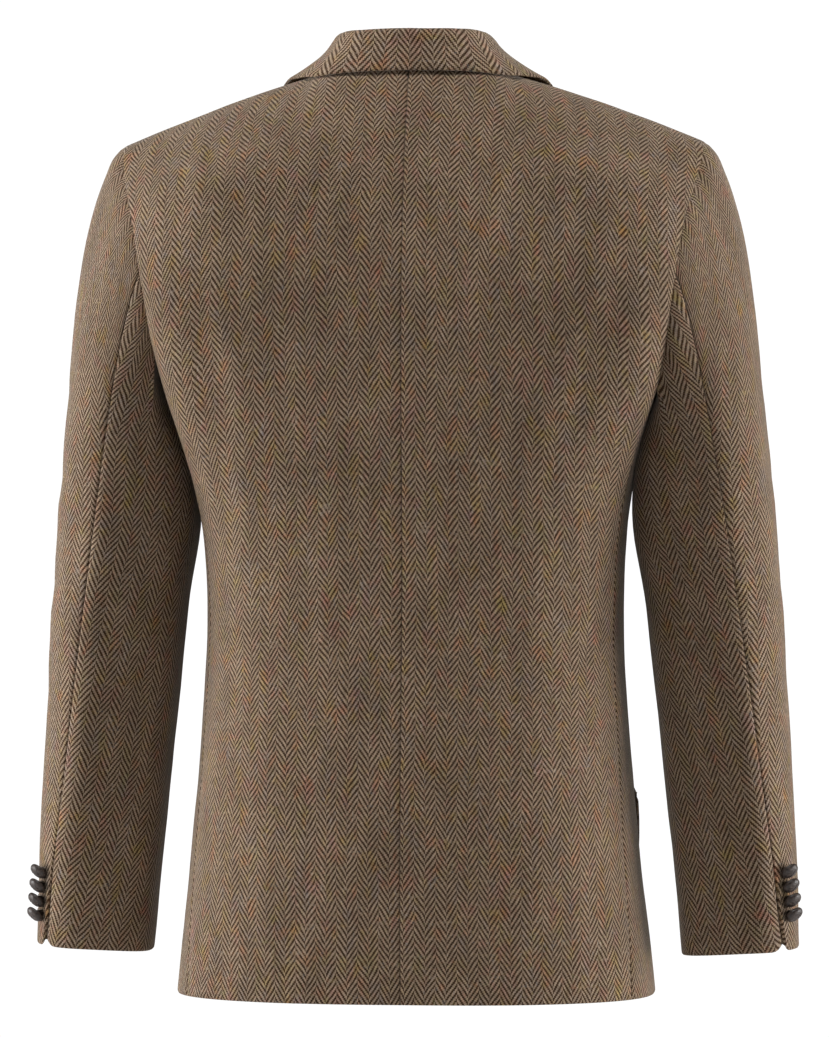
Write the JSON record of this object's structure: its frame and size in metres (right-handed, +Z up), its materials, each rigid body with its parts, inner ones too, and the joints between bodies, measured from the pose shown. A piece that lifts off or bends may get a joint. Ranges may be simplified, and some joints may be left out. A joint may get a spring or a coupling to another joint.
{
  "type": "tweed hacking jacket",
  "caption": "Single-breasted tweed hacking jacket, filled out and hollow, with notch lapels, slanted flap pockets, buttoned cuffs and a plain back.",
  "frame": {"origin": "the nape, where the collar is sewn to the back, at the height of that seam and in the middle of the neck from side to side; a wearer's or a hanger's shoulders hold it below here", "axes": "+Z up along the back; the front faces -Y; +X towards the wearer's left"},
  "size_m": [0.6158, 0.2807, 0.7613],
  "materials": {
    "tweed": "coarse woollen herringbone with coloured flecks, matt with a soft nap",
    "leather_button": "dark brown moulded leather, low sheen"
  },
  "bodies": {
    "root": {"back_left": "tweed", "back_right": "tweed", "side_left": "tweed", "side_right": "tweed", "front_left": "tweed", "front_right": "tweed", "top_sleeve_left": "tweed", "top_sleeve_right": "tweed", "under_sleeve_left": "tweed", "under_sleeve_right": "tweed", "lapel_left": "tweed", "lapel_right": "tweed", "collar": "tweed", "pocket_flap_left": "tweed", "pocket_flap_right": "tweed", "pocket_jet_left": "tweed", "pocket_jet_right": "tweed", "front_button_1": "leather_button", "front_button_2": "leather_button", "front_button_3": "leather_button", "cuff_button_left_1": "leather_button", "cuff_button_left_2": "leather_button", "cuff_button_left_3": "leather_button", "cuff_button_left_4": "leather_button", "cuff_button_right_1": "leather_button", "cuff_button_right_2": "leather_button", "cuff_button_right_3": "leather_button", "cuff_button_right_4": "leather_button"}
  },
  "joints": []
}
